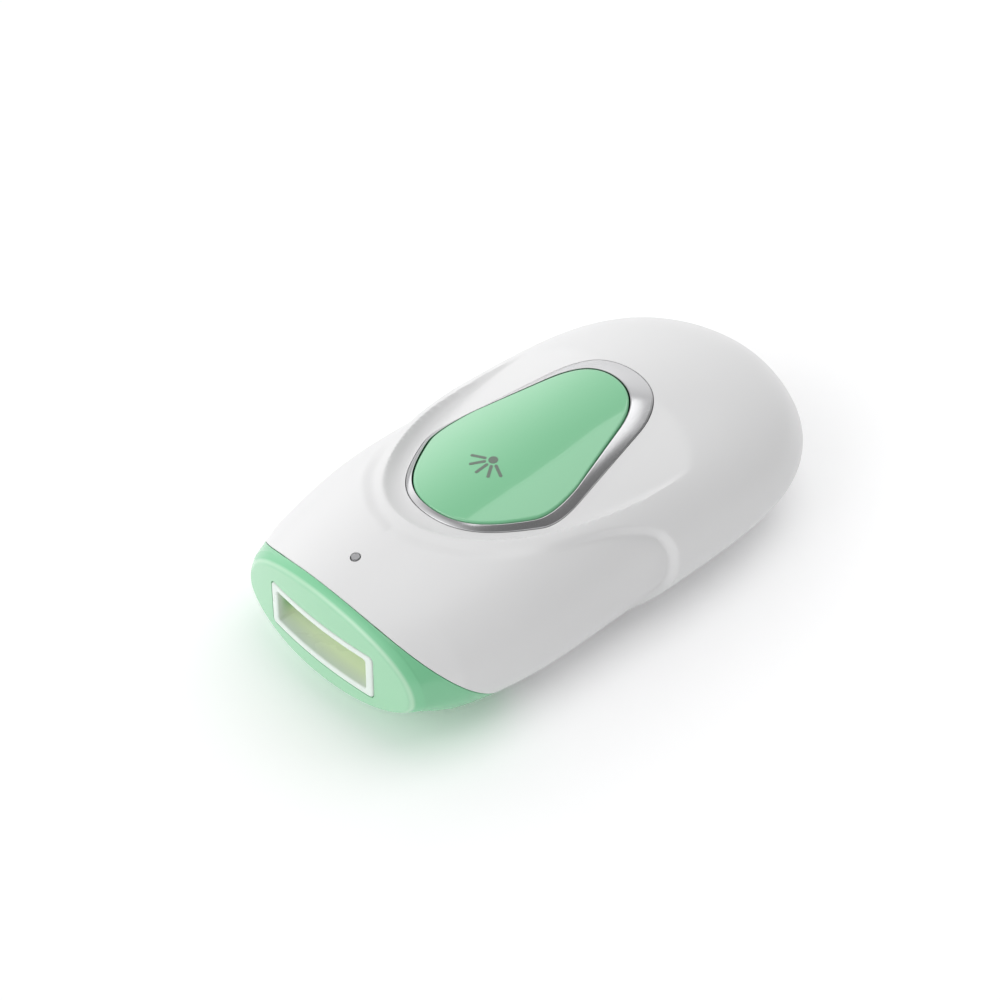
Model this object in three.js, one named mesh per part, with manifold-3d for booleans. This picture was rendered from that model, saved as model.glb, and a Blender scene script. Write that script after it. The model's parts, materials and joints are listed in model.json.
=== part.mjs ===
// Handheld light-pulse hair remover: white palm-shaped body, green nose with the flash window, green push
// button in a satin metal bezel. Millimetres, +Z up, nose towards -Y, origin under the middle of the body.
import * as THREE from 'three';
import { mergeVertices } from 'three/addons/utils/BufferGeometryUtils.js';
import Module from 'manifold-3d';

const wasm = await Module();
wasm.setup();

// body
const noseY = -65.8;
const rearY = 66;
const widestY = -2;
const crestY = -11;
const bodyHalfWidth = 35.9;
const noseHalfWidth = 27.7;
const waistZ = 16.1;
const crestZ = 41.3;
const noseDrop = 8.2;
const bellyDrop = 0.8;
const bellyFrontY = -26;
const bellyRearY = 17;
const noseRise = 7.2;
const wall = 2;
const gap = 0.3;
const splitZ = 6.5;
const faceBow = 3.2;

// crowned bed around the button, inside the dish rim
const bedZ = 36.9;
const bedSlope = 0.044;
const bedTilt = Math.atan(bedSlope);
const bedCrown = 0.0092;
const dishHalfWidth = 28.4;
const dishHalfLength = 65;
const dishMiddleY = 23;
const dishPower = 2.1;

// flash window and lamp
const windowZ = 17.8;
const windowHalfWidth = 16;
const windowHalfHeight = 5.9;
const apertureHalfWidth = 14;
const apertureHalfHeight = 4.3;
const frameFrontY = -66;
const frameDepth = 7.4;
const lugReach = 20.6;
const lugHalfHeight = 3.8;
const carrierHalfHeight = 8.4;
const reflectorFrontY = -54.6;
const lightHoleY = -54.7;
const lampY = -50.2;
const lampRadius = 2.4;
const lampHalfLength = 19;
const reflectorHalfLength = 17.5;

// button and its switch
const buttonShape = { front: -33.7, rear: 21.2, widest: 17.4, frontRun: 15.1, rearX: 11, rearRun: 9.6 };
const bezelShape = { front: -35.3, rear: 27.6, widest: 19.4, frontRun: 17, rearX: 13.6, rearRun: 12.3 };
const buttonGap = 0.35;
const buttonLift = 0.9;
const liftRise = 0.022;
const buttonCrown = 0.5;
const buttonRim = -2.9;
const carrierTop = -6.4;
const switchY = -9;
const buttonSpringYs = [-26, 12];

// boards and power parts
const boardZ = 8.6;
const boardThickness = 1.6;
const capacitorRadius = 8.6;
const capacitorLength = 31;
const fanSide = 25;
const fanY = -23;
const fanZ = 15.2;
const boardScrews = [[-20, -10], [20, 27]];
const inletZ = 17;
const inletHalf = 3.4;
const screwSeatZ = 5.2;
const screwX = 22;
const screwYs = [-29, 42];
const standoffs = [[-20, -10], [20, -10], [-20, 27], [20, 27]];

const colours = {
  white: 0xf1f2f2, green: 0xa4dfba, glossGreen: 0x92d8a8, satin: 0xc9cacc, frost: 0xe9f3ec, glass: 0xdfeedd,
  mirror: 0xd8dadd, ceramic: 0xf4f1e8, dark: 0x2d2f31, board: 0x2f6b46, copper: 0xb87343, steel: 0xaeb2b5,
  sleeve: 0x23282e, tape: 0xe3c14f, brass: 0xc9a54e, blackPlastic: 0x1d1e20, redWire: 0xb5352c,
};

function finish(colour, roughness, metalness = 0) {
  return new THREE.MeshStandardMaterial({ color: colour, roughness, metalness });
}

const finishes = {
  whitePlastic: () => finish(colours.white, 0.38),
  greenPlastic: () => finish(colours.green, 0.4),
  buttonPlastic: () => finish(colours.glossGreen, 0.12),
  satinMetal: () => finish(colours.satin, 0.3, 1),
  frostedPlastic: () => finish(colours.frost, 0.25),
  filterGlass: () => finish(colours.glass, 0.05),
  mirrorMetal: () => finish(colours.mirror, 0.1, 1),
  ceramic: () => finish(colours.ceramic, 0.7),
  aluminium: () => finish(colours.steel, 0.4, 1),
  steel: () => finish(colours.steel, 0.35, 1),
  board: () => finish(colours.board, 0.5),
  copper: () => finish(colours.copper, 0.35, 1),
  brass: () => finish(colours.brass, 0.3, 1),
  capacitorSleeve: () => finish(colours.sleeve, 0.45),
  coilTape: () => finish(colours.tape, 0.5),
  blackPlastic: () => finish(colours.blackPlastic, 0.5),
  ferrite: () => finish(colours.dark, 0.7),
  redWire: () => finish(colours.redWire, 0.5),
};

const device = new THREE.Group();

function place(name, geometry, material, parent = device) {
  const mesh = new THREE.Mesh(geometry, material);
  mesh.name = name;
  parent.add(mesh);
  return mesh;
}

// solids and cuts

function toSolid(geometry) {
  const bare = geometry.clone();
  for (const attribute of Object.keys(bare.attributes)) {
    if (attribute !== 'position') bare.deleteAttribute(attribute);
  }
  const merged = mergeVertices(bare, 1e-4);
  return new wasm.Manifold(new wasm.Mesh({
    numProp: 3,
    vertProperties: new Float32Array(merged.attributes.position.array),
    triVerts: new Uint32Array(merged.index.array),
  }));
}

function toGeometry(solid) {
  const { vertProperties, triVerts } = solid.getMesh();
  const geometry = new THREE.BufferGeometry();
  geometry.setAttribute('position', new THREE.BufferAttribute(vertProperties, 3));
  geometry.setIndex(new THREE.BufferAttribute(triVerts, 1));
  return geometry;
}

function box(x0, x1, y0, y1, z0, z1) {
  const geometry = new THREE.BoxGeometry(x1 - x0, y1 - y0, z1 - z0);
  geometry.translate((x0 + x1) / 2, (y0 + y1) / 2, (z0 + z1) / 2);
  return geometry;
}

function cylinderZ(radius, z0, z1, x, y, sides = 20) {
  const geometry = new THREE.CylinderGeometry(radius, radius, z1 - z0, sides);
  geometry.rotateX(Math.PI / 2);
  geometry.translate(x, y, (z0 + z1) / 2);
  return geometry;
}

function cylinderY(radius, y0, y1, x, z, sides = 20) {
  const geometry = new THREE.CylinderGeometry(radius, radius, y1 - y0, sides);
  geometry.translate(x, (y0 + y1) / 2, z);
  return geometry;
}

function cylinderX(radius, x0, x1, y, z, sides = 20) {
  const geometry = new THREE.CylinderGeometry(radius, radius, x1 - x0, sides);
  geometry.rotateZ(Math.PI / 2);
  geometry.translate((x0 + x1) / 2, y, z);
  return geometry;
}

// joins a row of closed loops into one skin; a tube ends in fans, a ring closes on its first loop
function skin(loops, closesOnItself = false) {
  const sides = loops[0].length;
  const points = loops.flat();
  const faces = [];
  const bands = closesOnItself ? loops.length : loops.length - 1;
  for (let band = 0; band < bands; band += 1) {
    const low = band * sides;
    const high = ((band + 1) % loops.length) * sides;
    for (let side = 0; side < sides; side += 1) {
      const next = (side + 1) % sides;
      faces.push(low + side, low + next, high + next, low + side, high + next, high + side);
    }
  }
  if (!closesOnItself) {
    for (const [first, turn] of [[0, 1], [(loops.length - 1) * sides, 0]]) {
      const middle = new THREE.Vector3();
      for (let side = 0; side < sides; side += 1) middle.add(points[first + side]);
      const hub = points.push(middle.divideScalar(sides)) - 1;
      for (let side = 0; side < sides; side += 1) {
        const next = (side + 1) % sides;
        faces.push(hub, first + (turn ? next : side), first + (turn ? side : next));
      }
    }
  }
  const geometry = new THREE.BufferGeometry();
  geometry.setAttribute('position', new THREE.Float32BufferAttribute(points.flatMap((p) => [p.x, p.y, p.z]), 3));
  geometry.setIndex(volume(points, faces) < 0 ? faces.reverse() : faces);
  return geometry;
}

function volume(points, faces) {
  let sum = 0;
  for (let i = 0; i < faces.length; i += 3) {
    const [a, b, c] = [points[faces[i]], points[faces[i + 1]], points[faces[i + 2]]];
    sum += a.dot(new THREE.Vector3().crossVectors(b, c));
  }
  return sum / 6;
}

function tube(points, radius, sides = 4, steps = 20) {
  const ring = new THREE.Shape();
  ring.absarc(0, 0, radius, 0, 2 * Math.PI);
  const path = new THREE.CatmullRomCurve3(points.map((p) => new THREE.Vector3(...p)));
  return new THREE.ExtrudeGeometry(ring, { steps, curveSegments: sides, extrudePath: path });
}

// body form

function clamp01(value) {
  return Math.min(Math.max(value, 0), 1);
}

function halfWidthAt(y, inset = 0) {
  if (y < widestY) {
    const forward = clamp01((widestY - y) / (widestY + 63));
    return bodyHalfWidth - (bodyHalfWidth - noseHalfWidth) * forward ** 2.53 - inset;
  }
  const back = clamp01((y - widestY) / (rearY - inset - widestY));
  return (bodyHalfWidth - inset) * (1 - back ** 4.5) ** 0.503;
}

function topAt(y, inset = 0) {
  if (y < crestY) {
    return crestZ - noseDrop * clamp01((crestY - y) / (crestY + 63)) ** 1.77 - inset;
  }
  const back = clamp01((y - crestY) / (rearY - inset - crestY));
  return waistZ + (crestZ - inset - waistZ) * (1 - back ** 1.6) ** 0.408;
}

function bottomAt(y, inset = 0) {
  const low = inset - bellyDrop;
  if (y < bellyFrontY) return low + (noseRise + bellyDrop) * clamp01((bellyFrontY - y) / 37) ** 3.9;
  const back = clamp01((y - bellyRearY) / (rearY - inset - bellyRearY));
  return waistZ - (waistZ - low) * (1 - back ** 2.2) ** 0.25;
}

// one closed cross loop of the body; scale draws it in towards its middle at the face
function bodyLoop(y, inset, scale, around) {
  const halfWidth = halfWidthAt(y, inset) * scale;
  const middle = scale < 1 ? windowZ : waistZ;
  const faceBlend = clamp01((-52 - y) / 12);
  const loop = [];
  for (let i = 0; i < around; i += 1) {
    const angle = (2 * Math.PI * i) / around;
    const [across, up] = [Math.cos(angle), Math.sin(angle)];
    const power = up > 0 ? 1 / 1.95 : 1 / 2.145;
    const x = halfWidth * Math.sign(across) * Math.abs(across) ** (2 * power);
    const reach = up > 0 ? topAt(y, inset) - waistZ : waistZ - bottomAt(y, inset);
    let z = waistZ + reach * Math.sign(up) * Math.abs(up) ** (2 * power);
    z = middle + (z - middle) * scale;
    const bow = faceBow * faceBlend * (x / noseHalfWidth) ** 2;
    loop.push(new THREE.Vector3(x, y + bow, Math.max(z, inset)));
  }
  return loop;
}

function bodySolid(inset, around) {
  const loops = [];
  const faceY = noseY + inset * 1.6;
  const faceSteps = inset > 0 ? [[0, 1]] : [[0, 0.9], [0.5, 0.95], [1.6, 0.985], [3, 1]];
  for (const [depth, scale] of faceSteps) loops.push(bodyLoop(faceY + depth, inset, scale, around));
  const bodyStart = noseY + 6;
  for (let y = bodyStart; y < 40; y += 8) loops.push(bodyLoop(y, inset, 1, around));
  const roundSteps = 8;
  for (let i = 0; i < roundSteps; i += 1) {
    const turn = (Math.PI / 2) * (i / roundSteps);
    loops.push(bodyLoop(42 + (rearY - inset - 42) * Math.sin(turn), inset, 1, around));
  }
  loops.push(bodyLoop(rearY - inset - 0.08, inset, 1, around));
  return toSolid(skin(loops));
}

// plane outlines of the button and the bezel, as closed lists of points
function teardrop(shape, offset) {
  const [front, rear] = [shape.front - offset, shape.rear + offset];
  const [widest, rearX] = [shape.widest + offset, shape.rearX + offset];
  const sideY = front + shape.frontRun;
  const [lineX, lineY] = [widest * 0.943, sideY + 12.3];
  const rearY0 = rear - shape.rearRun;
  const along = (rearX - lineX) / (rearY0 - lineY);
  const outline = new THREE.Shape();
  outline.moveTo(0, front);
  outline.bezierCurveTo(widest * 0.535, front, widest * 0.75, front + shape.frontRun / 2, widest * 0.965, sideY);
  outline.bezierCurveTo(widest * 1.022, sideY + 3.1, widest * 1.007, sideY + 7, lineX, lineY);
  outline.lineTo(rearX, rearY0);
  const run = shape.rearRun * 0.54;
  outline.bezierCurveTo(rearX + along * run, rearY0 + run, rearX * 0.6, rear, 0, rear);
  const half = outline.getPoints(7).slice(1, -1);
  const mirrored = half.map((p) => new THREE.Vector2(-p.x, p.y)).reverse();
  return [new THREE.Vector2(0, front), ...half, new THREE.Vector2(0, rear), ...mirrored];
}

function buttonOutline(offset = 0) {
  return teardrop(buttonShape, offset);
}

function bezelOutline(offset = 0) {
  return teardrop(bezelShape, offset);
}

// height of the button's edge above the bed
function buttonLiftAt(y) {
  return buttonLift + liftRise * (y - buttonShape.front);
}

// a loop of an outline lifted over the crowned bed; lift is a number or a function of y
function bedLoop(outline, lift) {
  return outline.map((p) => {
    const rise = typeof lift === 'function' ? lift(p.y) : lift;
    return new THREE.Vector3(p.x, p.y, bedHeight(p.x, p.y) + rise);
  });
}

// the same over the flat plane that touches the bed along its middle
function planeLoop(outline, lift) {
  return outline.map((p) => new THREE.Vector3(p.x, p.y, bedHeight(0, p.y) + lift));
}

function scaled(outline, factor, middleY = -6) {
  return outline.map((p) => new THREE.Vector2(p.x * factor, middleY + (p.y - middleY) * factor));
}

function bedHeight(x, y) {
  return bedZ + bedSlope * y - bedCrown * x ** 2;
}

// everything above the bed and inside the dish rim
function dishCutter(drop) {
  const around = 36;
  const rings = [[0.15, 0], [0.5, 0], [0.8, 0], [0.905, 0], [0.95, 1], [1, 3.2]];
  const loops = rings.map(([reach, lift]) => {
    const loop = [];
    for (let i = 0; i < around; i += 1) {
      const angle = (2 * Math.PI * i) / around;
      const [across, along] = [Math.cos(angle), Math.sin(angle)];
      const x = dishHalfWidth * reach * Math.sign(across) * Math.abs(across) ** (2 / dishPower);
      const y = dishMiddleY + dishHalfLength * reach * Math.sign(along) * Math.abs(along) ** (2 / dishPower);
      loop.push(new THREE.Vector3(x, y, bedHeight(x, y) + lift - drop));
    }
    return loop;
  });
  const ceiling = loops[loops.length - 1].map((p) => new THREE.Vector3(p.x, p.y, 70));
  return toSolid(skin([...loops, ceiling]));
}

// the curved seam between green nose and white body: the region ahead of it
function seamY(z) {
  const below = 32.8 - z;
  return -63.4 + 0.42 * below + 0.0185 * below * Math.abs(below);
}

function aheadOfSeam(shift) {
  const outline = new THREE.Shape();
  outline.moveTo(-90, 60);
  for (let z = 46; z >= -4; z -= 5) outline.lineTo(seamY(z) + shift, z);
  outline.lineTo(-90, -4);
  const geometry = new THREE.ExtrudeGeometry(outline, { depth: 100, bevelEnabled: false });
  geometry.rotateY(Math.PI / 2);
  geometry.rotateX(Math.PI / 2);
  geometry.translate(-50, 0, 0);
  return toSolid(geometry);
}

function makeShells() {
  const around = 36;
  const outer = bodySolid(0, around).subtract(dishCutter(0));
  const inner = bodySolid(wall, around).subtract(dishCutter(wall));
  const shell = outer.subtract(inner);
  const nose = shell.intersect(aheadOfSeam(0));
  const casing = shell.subtract(aheadOfSeam(gap));
  const below = toSolid(box(-60, 60, -90, 90, -10, splitZ));
  return { outer, nose, upper: casing.subtract(below), lower: casing.intersect(below) };
}

function makeUpperCasing(shells) {
  let casing = shells.upper;
  for (const x of [-screwX, screwX]) {
    for (const y of screwYs) {
      const post = toSolid(cylinderZ(3.2, splitZ + gap, 40, x, y, 16)).intersect(shells.outer);
      const pilot = toSolid(cylinderZ(1.7, splitZ - 1, 17, x, y, 12));
      casing = casing.add(post).subtract(pilot);
    }
  }
  const opening = toSolid(skin([bedLoop(bezelOutline(gap), -6), bedLoop(bezelOutline(gap), 12)]));
  const lightHole = toSolid(cylinderZ(1.2, 20, 60, 0, lightHoleY, 16));
  const inletHole = toSolid(box(-6.3, 6.3, 55, 70, inletZ - 5.5, inletZ + 5.5));
  return toGeometry(casing.subtract(opening).subtract(lightHole).subtract(inletHole));
}

function makeLowerCasing(shells) {
  const lid = toSolid(box(-60, 60, -90, 90, -10, splitZ - gap));
  let casing = shells.lower.intersect(lid);
  for (const x of [-screwX, screwX]) {
    for (const y of screwYs) {
      const boss = toSolid(cylinderZ(3.9, -5, splitZ - gap, x, y, 16)).intersect(shells.outer);
      const well = toSolid(cylinderZ(2.9, -5, screwSeatZ, x, y, 16));
      const hole = toSolid(cylinderZ(1.7, -5, 20, x, y, 12));
      casing = casing.add(boss).subtract(well).subtract(hole);
    }
  }
  for (const [x, y] of standoffs) {
    const stud = toSolid(cylinderZ(2.4, 1, boardZ - gap, x, y, 12)).intersect(shells.outer);
    casing = casing.add(stud).subtract(toSolid(cylinderZ(1.1, 3, 20, x, y, 10)));
  }
  for (let row = 0; row < 7; row += 1) {
    const y = -14 + row * 3.4;
    casing = casing.subtract(toSolid(box(-11, 11, y, y + 1.5, -5, 5)));
  }
  return toGeometry(casing);
}

function makeNoseCover(shells) {
  const half = [windowHalfWidth + gap, windowHalfHeight + gap];
  const windowHole = toSolid(box(-half[0], half[0], -80, -50, windowZ - half[1], windowZ + half[1]));
  return toGeometry(shells.nose.subtract(windowHole));
}

// the skin-contact frame round the flash window, with a lug at each end behind the nose
function makeWindowFrame() {
  const y1 = frameFrontY;
  const outline = new THREE.Shape();
  outline.moveTo(-windowHalfWidth, y1 + frameDepth);
  const steps = 12;
  for (let i = 0; i <= steps; i += 1) {
    const x = windowHalfWidth * (2 * (i / steps) - 1);
    outline.lineTo(x, y1 + faceBow * (x / noseHalfWidth) ** 2);
  }
  outline.lineTo(windowHalfWidth, y1 + frameDepth);
  const block = new THREE.ExtrudeGeometry(outline, { depth: 2 * windowHalfHeight, bevelEnabled: false });
  block.translate(0, 0, windowZ - windowHalfHeight);
  let body = toSolid(block);
  body = body.add(toSolid(box(-lugReach, lugReach, y1 + frameDepth - 1.6, y1 + frameDepth,
    windowZ - lugHalfHeight, windowZ + lugHalfHeight)));
  const hole = toSolid(box(-apertureHalfWidth, apertureHalfWidth, y1 - 5, y1 + 20,
    windowZ - apertureHalfHeight, windowZ + apertureHalfHeight));
  return toGeometry(body.subtract(hole));
}

class Helix extends THREE.Curve {
  constructor(radius, height, turns) {
    super();
    Object.assign(this, { radius, height, turns });
  }

  getPoint(t, target = new THREE.Vector3()) {
    const angle = 2 * Math.PI * this.turns * t;
    return target.set(this.radius * Math.cos(angle), this.radius * Math.sin(angle), this.height * t);
  }
}

// a compression spring standing on z = 0
function coilSpring(radius, height, turns, wire) {
  const ring = new THREE.Shape();
  ring.absarc(0, 0, wire, 0, 2 * Math.PI);
  const path = new Helix(radius, height - 2 * wire, turns);
  const geometry = new THREE.ExtrudeGeometry(ring, { steps: turns * 9, curveSegments: 3, extrudePath: path });
  geometry.translate(0, 0, wire);
  return geometry;
}

// button group

function makeBezel() {
  const loops = [
    bedLoop(buttonOutline(buttonGap), -4),
    bedLoop(bezelOutline(1.1), -4),
    bedLoop(bezelOutline(1.1), -3),
    bedLoop(bezelOutline(0), -3),
    bedLoop(bezelOutline(0), 0.1),
    bedLoop(buttonOutline(buttonGap), (y) => buttonLiftAt(y) - 0.45),
  ];
  return skin(loops, true);
}

function makeButtonCap() {
  const edge = buttonOutline(0);
  const loops = [
    planeLoop(edge, buttonRim),
    bedLoop(edge, (y) => buttonLiftAt(y) - 0.3),
    ...[0.965, 0.7, 0.35].map((factor) => bedLoop(scaled(edge, factor),
      (y) => buttonLiftAt(y) + buttonCrown * (1 - factor ** 2))),
  ];
  return skin(loops);
}

function makeButtonCarrier() {
  const edge = buttonOutline(-0.6);
  return skin([planeLoop(edge, carrierTop - 1.2), planeLoop(edge, carrierTop)]);
}

function buildButtonGroup() {
  place('bezel_ring', makeBezel(), finishes.satinMetal());
  place('power_button', makeButtonCap(), finishes.buttonPlastic());
  place('button_board', makeButtonCarrier(), finishes.board());
  const tilted = new THREE.Group();
  tilted.position.set(0, 0, bedZ);
  tilted.rotation.x = bedTilt;
  device.add(tilted);
  const base = carrierTop + gap;
  const switchBody = toSolid(box(-3, 3, switchY - 3, switchY + 3, base, base + 1.7));
  const well = toSolid(cylinderZ(1.6, base - 1, base + 3, 0, switchY, 16));
  place('tact_switch', toGeometry(switchBody.subtract(well)), finishes.blackPlastic(), tilted);
  const plunger = cylinderZ(1.3, base + 0.9, buttonRim - gap, 0, switchY, 16);
  place('tact_plunger', plunger, finishes.frostedPlastic(), tilted);
  buttonSpringYs.forEach((y, index) => {
    const spring = coilSpring(2, buttonRim - carrierTop - 2 * gap, 3, 0.22);
    spring.translate(0, y, base);
    place(['button_spring_front', 'button_spring_rear'][index], spring, finishes.steel(), tilted);
  });
}

// flash lamp group

function troughProfile(radius, front, halfMouth, steps) {
  const points = [new THREE.Vector2(front, halfMouth)];
  for (let i = 0; i <= steps; i += 1) {
    const angle = THREE.MathUtils.degToRad(70 - (140 * i) / steps);
    points.push(new THREE.Vector2(lampY + radius * Math.cos(angle), radius * Math.sin(angle)));
  }
  points.push(new THREE.Vector2(front, -halfMouth));
  return points;
}

function extrudeAlongX(outline, halfLength, z) {
  const geometry = new THREE.ExtrudeGeometry(outline, { depth: 2 * halfLength, bevelEnabled: false });
  geometry.rotateY(Math.PI / 2);
  geometry.rotateX(Math.PI / 2);
  geometry.translate(-halfLength, 0, z);
  return geometry;
}

function makeReflector() {
  const inside = troughProfile(4.4, reflectorFrontY, 6, 10);
  const outside = troughProfile(5.1, reflectorFrontY, 6.8, 10).reverse();
  return extrudeAlongX(new THREE.Shape([...inside, ...outside]), reflectorHalfLength, windowZ);
}

function makeLampCarrier() {
  const [front, back, top, low] = [-54.4, -42.9, carrierHalfHeight, carrierHalfHeight - 1.4];
  const outline = new THREE.Shape([[front, top], [back, top], [back, -top], [front, -top], [front, -low],
    [back - 1.4, -low], [back - 1.4, low], [front, low]].map(([y, z]) => new THREE.Vector2(y, z)));
  return extrudeAlongX(outline, reflectorHalfLength, windowZ);
}

function makeHeatsink() {
  const [front, plate, back, halfSpan, fins] = [-42.6, -40.8, -31.5, 16, 9];
  const outline = new THREE.Shape();
  outline.moveTo(-halfSpan, front);
  outline.lineTo(halfSpan, front);
  const pitch = (2 * halfSpan) / (2 * fins - 1);
  for (let i = 0; i < fins; i += 1) {
    const x = halfSpan - 2 * i * pitch;
    if (i > 0) outline.lineTo(x, plate);
    outline.lineTo(x, back);
    outline.lineTo(x - pitch, back);
    if (i < fins - 1) outline.lineTo(x - pitch, plate);
  }
  const geometry = new THREE.ExtrudeGeometry(outline, { depth: 17, bevelEnabled: false });
  geometry.translate(0, 0, windowZ - 8.5);
  return geometry;
}

function buildLampGroup() {
  place('filter_glass', box(-17.2, 17.2, -57.1, -55.3, windowZ - 6.2, windowZ + 6.2), finishes.filterGlass());
  place('reflector', makeReflector(), finishes.mirrorMetal());
  place('flash_lamp', cylinderX(lampRadius, -lampHalfLength, lampHalfLength, lampY, windowZ),
    finishes.filterGlass());
  place('lamp_carrier', makeLampCarrier(), finishes.blackPlastic());
  place('lamp_heatsink', makeHeatsink(), finishes.aluminium());
  const frameBackY = frameFrontY + frameDepth;
  for (const [side, sign] of [['left', -1], ['right', 1]]) {
    const capInner = sign * (lampHalfLength + gap);
    const capOuter = sign * (lampHalfLength + 3.6);
    const cap = cylinderX(2.6, Math.min(capInner, capOuter), Math.max(capInner, capOuter), lampY, windowZ);
    place(`lamp_electrode_${side}`, cap, finishes.brass());
    const [near, far] = [sign * 19.2, sign * 23.4];
    const block = toSolid(box(Math.min(near, far), Math.max(near, far), -54.6, -46, windowZ - 5, windowZ + 4.4));
    const seat = toSolid(cylinderX(2.9, -40, 40, lampY, windowZ, 20));
    place(`lamp_holder_${side}`, toGeometry(block.subtract(seat)), finishes.ceramic());
    const lugX = sign * 18.9;
    const spring = coilSpring(1.1, 2.6, 3, 0.16);
    spring.rotateX(-Math.PI / 2);
    spring.translate(lugX, frameBackY + gap, windowZ + 2.2);
    place(`frame_spring_${side}`, spring, finishes.steel());
    const sensorY = frameBackY + 1.4;
    const sensor = toSolid(box(lugX - 1.6, lugX + 1.6, sensorY, sensorY + 2.4, windowZ - 4.4, windowZ + 0.4));
    const bore = toSolid(cylinderY(0.9, sensorY - 1, sensorY + 4, lugX, windowZ - 2, 12));
    place(`contact_switch_${side}`, toGeometry(sensor.subtract(bore)), finishes.blackPlastic());
    place(`contact_plunger_${side}`,
      cylinderY(0.6, frameBackY + gap, sensorY + 1, lugX, windowZ - 2, 12), finishes.frostedPlastic());
    const lead = tube([[capOuter + sign * 0.9, lampY, windowZ], [sign * 26, lampY + 5, windowZ - 1],
      [sign * 27.2, -38, 15], [sign * 25.5, -22, 12.4], [sign * 21, -16, 13], [sign * 15.5, -10, 11.6]], 0.7);
    place(`lamp_lead_${side}`, lead, finishes.redWire());
  }
}

// status light behind its hole in the nose end of the casing

function buildStatusLight() {
  const y = lightHoleY;
  place('light_pipe', cylinderZ(0.9, 31.6, 35.4, 0, y, 16), finishes.frostedPlastic());
  place('status_led', cylinderZ(1.5, 28.4, 31.2, 0, y, 16), finishes.frostedPlastic());
  place('led_board', box(-5, 5, y - 1.8, y + 6, windowZ + carrierHalfHeight + gap, 28), finishes.board());
}

// cooling fan

function makeFanFrame() {
  const half = fanSide / 2;
  const ring = toSolid(box(-half, half, fanY - 4, fanY + 4, fanZ - half, fanZ + half));
  const bore = toSolid(cylinderY(11.6, fanY - 6, fanY + 6, 0, fanZ, 28));
  let frame = ring.subtract(bore);
  frame = frame.add(toSolid(cylinderY(4.4, fanY + 2.6, fanY + 4, 0, fanZ, 20)));
  for (let i = 0; i < 3; i += 1) {
    const strut = box(3.5, 12.2, fanY + 2.8, fanY + 3.8, -0.8, 0.8);
    strut.rotateY((2 * Math.PI * i) / 3 + 0.4);
    strut.translate(0, 0, fanZ);
    frame = frame.add(toSolid(strut));
  }
  return toGeometry(frame);
}

function makeFanRotor() {
  let rotor = toSolid(cylinderY(4.6, fanY - 3.6, fanY + 2.2, 0, fanZ, 20));
  const blades = 7;
  for (let i = 0; i < blades; i += 1) {
    const blade = box(4, 11, -0.4, 0.4, -3.2, 3.2);
    blade.rotateX(0.9);
    blade.rotateY((2 * Math.PI * i) / blades);
    blade.translate(0, fanY - 0.7, fanZ);
    rotor = rotor.add(toSolid(blade));
  }
  return toGeometry(rotor);
}

// boards and power parts

function makeMainBoard() {
  const outline = new THREE.Shape([[-24, -14], [24, -14], [24, 31], [17, 37], [17, 54], [-17, 54], [-17, 37],
    [-24, 31]].map(([x, y]) => new THREE.Vector2(x, y)));
  const board = new THREE.ExtrudeGeometry(outline, { depth: boardThickness, bevelEnabled: false });
  board.translate(0, 0, boardZ);
  let solid = toSolid(board);
  for (const [x, y] of boardScrews) solid = solid.subtract(toSolid(cylinderZ(1.3, 0, 20, x, y, 12)));
  return toGeometry(solid);
}

function makeScrew(headRadius, headHeight, shankRadius, shankLength) {
  const head = toSolid(cylinderZ(headRadius, 0, headHeight, 0, 0, 16));
  const shank = toSolid(cylinderZ(shankRadius, headHeight / 2, headHeight + shankLength, 0, 0, 12));
  const slots = [box(-headRadius * 0.6, headRadius * 0.6, -0.25, 0.25, -1, headHeight * 0.5),
    box(-0.25, 0.25, -headRadius * 0.6, headRadius * 0.6, -1, headHeight * 0.5)];
  return toGeometry(head.add(shank).subtract(toSolid(slots[0])).subtract(toSolid(slots[1])));
}

function buildPowerGroup() {
  place('main_board', makeMainBoard(), finishes.board());
  const top = boardZ + boardThickness + gap;
  for (const [side, sign] of [['left', -1], ['right', 1]]) {
    const x = sign * (capacitorRadius + 0.5);
    const can = cylinderY(capacitorRadius, 4, 4 + capacitorLength, x, top + capacitorRadius, 28);
    place(`flash_capacitor_${side}`, can, finishes.capacitorSleeve());
  }
  const core = toSolid(box(-8, 8, -12, 1.5, top, top + 13));
  const windowCut = toSolid(box(-5.4, 5.4, -20, 10, top + 2.4, top + 10.6));
  place('transformer_core', toGeometry(core.subtract(windowCut)), finishes.ferrite());
  place('transformer_coil', box(-5, 5, -12.6, 2.1, top + 2.8, top + 10.2), finishes.coilTape());
  place('trigger_coil', cylinderZ(3.6, top, top + 9, -14, -3, 20), finishes.copper());
  const tab = toSolid(box(10.5, 20.5, -5.6, -4.4, top, top + 15));
  const block = toSolid(box(10.5, 20.5, -4.6, -1, top, top + 9.5));
  place('power_transistor', toGeometry(tab.add(block)), finishes.blackPlastic());
  boardScrews.forEach(([x, y], index) => {
    const screw = makeScrew(1.9, 1.2, 0.9, 4.6);
    screw.rotateX(Math.PI);
    screw.translate(x, y, top + 1.2);
    place(`board_screw_${index + 1}`, screw, finishes.steel());
  });
}

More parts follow.
